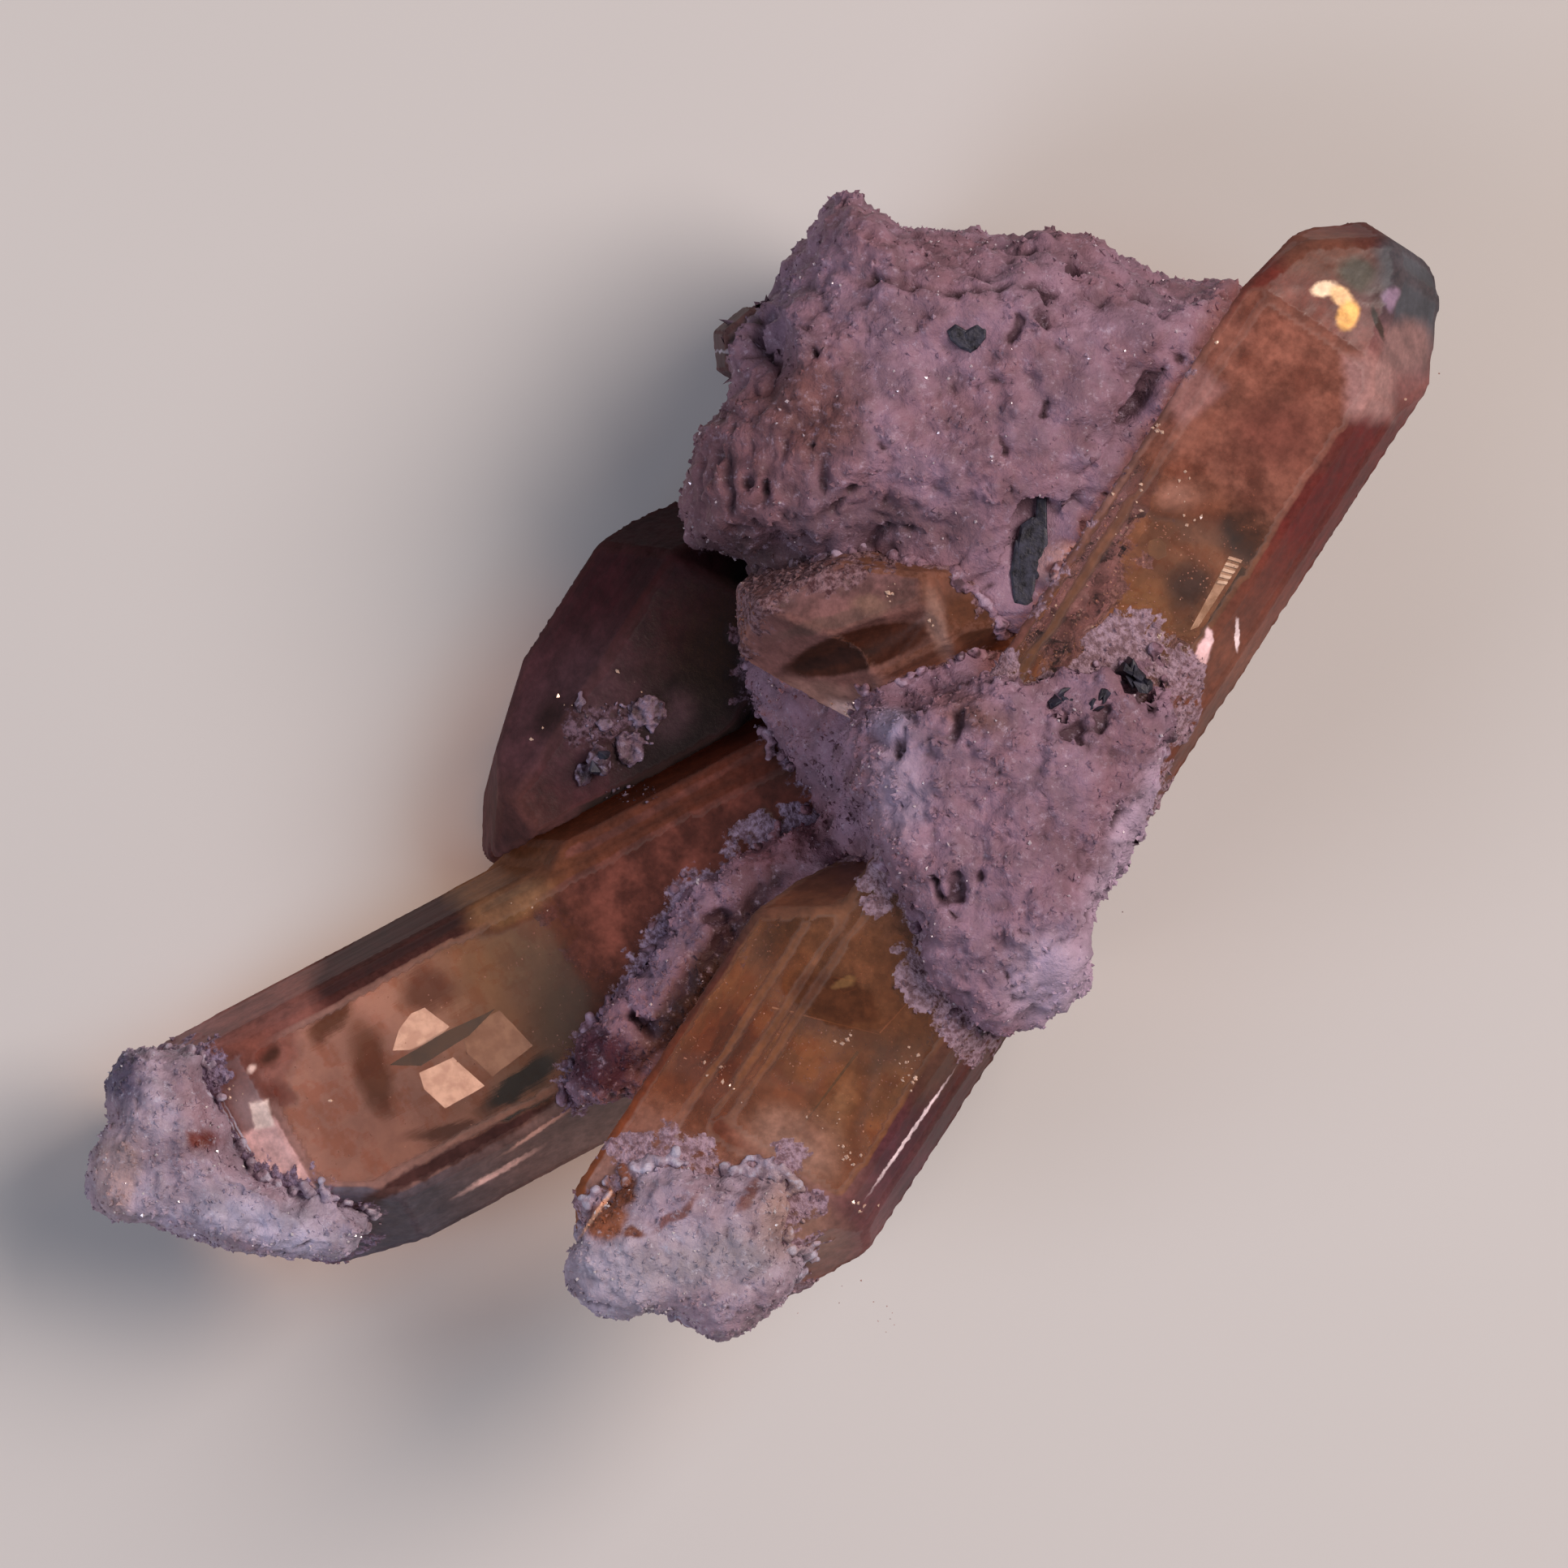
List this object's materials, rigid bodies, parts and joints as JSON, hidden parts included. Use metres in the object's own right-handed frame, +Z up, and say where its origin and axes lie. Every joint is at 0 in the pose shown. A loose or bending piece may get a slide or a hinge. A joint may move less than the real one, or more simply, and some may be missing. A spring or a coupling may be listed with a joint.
{
  "type": "topaz crystal specimen on matrix",
  "caption": "Intergrown sherry topaz prisms with flat terminations, partly crusted, on a loose lump of lavender rhyolite with dark oxide grains; lies on its flat underside.",
  "frame": {"origin": "under the middle of the specimen's box, on the plane it rests on", "axes": "+X along the box's long side towards the long crystal's tip, +Z up from the flat underside to the side that is shown"},
  "size_m": [0.0418, 0.0353, 0.0153],
  "materials": {
    "topaz": "clear to cloudy sherry, vitreous",
    "pale_topaz": "clear champagne, vitreous",
    "rhyolite": "rough, granular, lavender grey",
    "pale_crust": "rough, granular, pale bluish grey",
    "dark_oxide": "submetallic black"
  },
  "bodies": {
    "root": {"topaz_long_crystal": "topaz", "topaz_left_crystal": "pale_topaz", "topaz_back_crystal": "topaz", "topaz_short_crystal": "topaz", "topaz_edge_crystal": "pale_topaz", "rhyolite_matrix": "rhyolite", "crust_left_tip": "pale_crust", "crust_lower_tip": "pale_crust", "crust_back_patch": "pale_crust", "pseudobrookite_blade": "dark_oxide", "dark_grain_1": "dark_oxide", "dark_grain_2": "dark_oxide", "dark_grain_3": "dark_oxide", "dark_grain_4": "dark_oxide", "dark_grain_5": "dark_oxide"}
  },
  "joints": []
}
